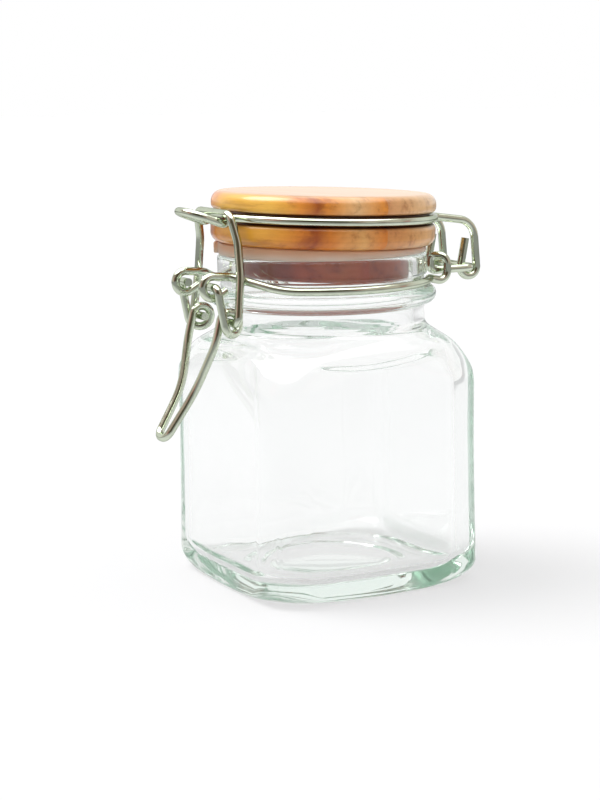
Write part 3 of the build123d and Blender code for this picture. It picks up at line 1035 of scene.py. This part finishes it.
def room_colour(tree, stage, direction, facing):
    """What bright surfaces mirror: white behind, greyer sides, one unlit side and a few warm patches."""
    grey = blended(tree, fade(tree, facing, *GREY_SIDES), WHITE, stage.side_tone)
    unlit = fade(tree, facing, cos(stage.dark_outer), cos(stage.dark_inner))
    patches = fade(tree, noise_pattern(tree, direction, PATCH_SCALE, detail=2.0), *PATCH_EDGE)
    warm = fade(tree, noise_pattern(tree, direction, WARM_SCALE, detail=1.0), *WARM_EDGE)
    patch_colour = blended(tree, warm, stage.dark, stage.blush)
    patches = product(tree, patches, fade(tree, facing, *PATCHED_SIDE))
    colour = blended(tree, unlit, blended(tree, patches, grey, patch_colour), stage.dark)
    ceiling = fade(tree, along(tree, direction, "Z"), *CEILING_EDGE)
    return blended(tree, ceiling, colour, (stage.ceiling,) * 3)


def white_world(stage):
    """Soft even light, white in plain view, and the room where bright surfaces mirror it."""
    world = bpy.data.worlds.new("white_studio")
    bpy.context.scene.world = world
    tree = empty_tree(world)
    in_view, mirrored, inside = light_path(tree)
    direction = add_node(tree, "TexCoord").outputs["Generated"]
    turn, rise = stage.dark_turn, stage.dark_rise
    middle = (sin(turn) * cos(rise), -cos(turn) * cos(rise), sin(rise))
    compared = add_node(tree, "VectorMath", {0: direction, 1: middle}, operation="DOT_PRODUCT")
    room = room_colour(tree, stage, direction, compared.outputs["Value"])
    room_share = product(tree, mirrored, rest_of(tree, product(tree, inside, stage.inner_white)))
    colour = blended(tree, room_share, WHITE, room)
    soft = add_node(tree, "Background", {"Color": (*WHITE, 1.0), "Strength": stage.soft_light})
    seen = add_node(tree, "Background", {"Color": colour, "Strength": 1.0})
    both = add_node(tree, "MixShader", {
        0: in_view, 1: soft.outputs["Background"], 2: seen.outputs["Background"]})
    add_node(tree, "OutputWorld", {"Surface": both.outputs["Shader"]})


def add_camera(stage):
    """The camera at the photograph's viewing angle."""
    turn, down, roll = stage.azimuth, stage.pitch, stage.roll
    right = Vector((cos(turn), sin(turn), 0))
    back = Vector((sin(turn) * cos(down), -cos(turn) * cos(down), sin(down)))
    up = back.cross(right)
    rolled_right = right * cos(roll) + up * sin(roll)
    rolled_up = up * cos(roll) - right * sin(roll)
    data = bpy.data.cameras.new("camera")
    data.sensor_fit = "VERTICAL"
    data.sensor_height = SENSOR_HEIGHT
    data.lens = stage.lens
    data.clip_start = NEAREST_VIEW
    camera = bpy.data.objects.new("camera", data)
    bpy.context.scene.collection.objects.link(camera)
    place = Vector((0, 0, stage.rise)) + right * stage.side_step + back * stage.distance
    basis = Matrix((rolled_right, rolled_up, back)).transposed()
    camera.matrix_world = Matrix.Translation(place) @ basis.to_4x4()
    bpy.context.scene.camera = camera


def add_key_light(stage):
    """A wide soft light from above and a little to the left of the camera."""
    data = bpy.data.lights.new("key", "SUN")
    data.energy = stage.key_light
    data.angle = stage.key_spread
    lamp = bpy.data.objects.new("key", data)
    bpy.context.scene.collection.objects.link(lamp)
    lamp.rotation_euler = Vector(KEY_SIDE).to_track_quat("Z", "Y").to_euler()


class JAR_OT_stage(bpy.types.Operator):
    """Sets up the white stage, the lamps and the camera"""

    bl_idname = "spice_jar.stage"
    bl_label = "Stage"

    def execute(self, context):
        stage = context.scene.spice_jar.stage
        bm = bmesh.new()
        bmesh.ops.create_circle(bm, cap_ends=True, segments=FLOOR_SIDES, radius=stage.floor_size)
        bmesh.ops.translate(bm, vec=(0, 0, -AIR_GAP), verts=bm.verts)
        floor = finished_piece(bm, "floor", floor_material(stage), radians(40))
        white_world(stage)
        add_key_light(stage)
        add_camera(stage)
        context.scene.view_settings.view_transform = "Standard"
        context.scene.cycles.max_bounces = 128
        context.scene.cycles.glossy_bounces = 64
        context.scene.cycles.transmission_bounces = 64
        return {"FINISHED"}


class JAR_PT_panel(bpy.types.Panel):
    """Lists the settings and steps of the jar"""

    bl_idname = "JAR_PT_panel"
    bl_label = "Spice jar"
    bl_space_type = "VIEW_3D"
    bl_region_type = "UI"
    bl_category = "Spice Jar"

    def draw(self, context):
        settings = context.scene.spice_jar
        for title, group, steps in (
            ("Glass", settings.glass, ("glass",)),
            ("Lid", settings.lid, ("lid", "gasket")),
            ("Wire", settings.wire, ("wires",)),
            ("Stage", settings.stage, ("stage",)),
        ):
            box = self.layout.box()
            box.label(text=title)
            for name in group.__annotations__:
                box.prop(group, name)
            for step in steps:
                box.operator(f"spice_jar.{step}")


CLASSES = (
    GlassSettings, LidSettings, WireSettings, StageSettings, JarSettings,
    JAR_OT_glass, JAR_OT_lid, JAR_OT_gasket, JAR_OT_wires, JAR_OT_stage, JAR_PT_panel,
)


def register():
    for item in CLASSES:
        bpy.utils.register_class(item)
    bpy.types.Scene.spice_jar = PointerProperty(type=JarSettings)


def unregister():
    del bpy.types.Scene.spice_jar
    for item in reversed(CLASSES):
        bpy.utils.unregister_class(item)


def main():
    register()
    bpy.ops.spice_jar.stage()
    bpy.ops.spice_jar.glass()
    bpy.ops.spice_jar.lid()
    bpy.ops.spice_jar.gasket()
    bpy.ops.spice_jar.wires()


if __name__ == "__main__":
    main()
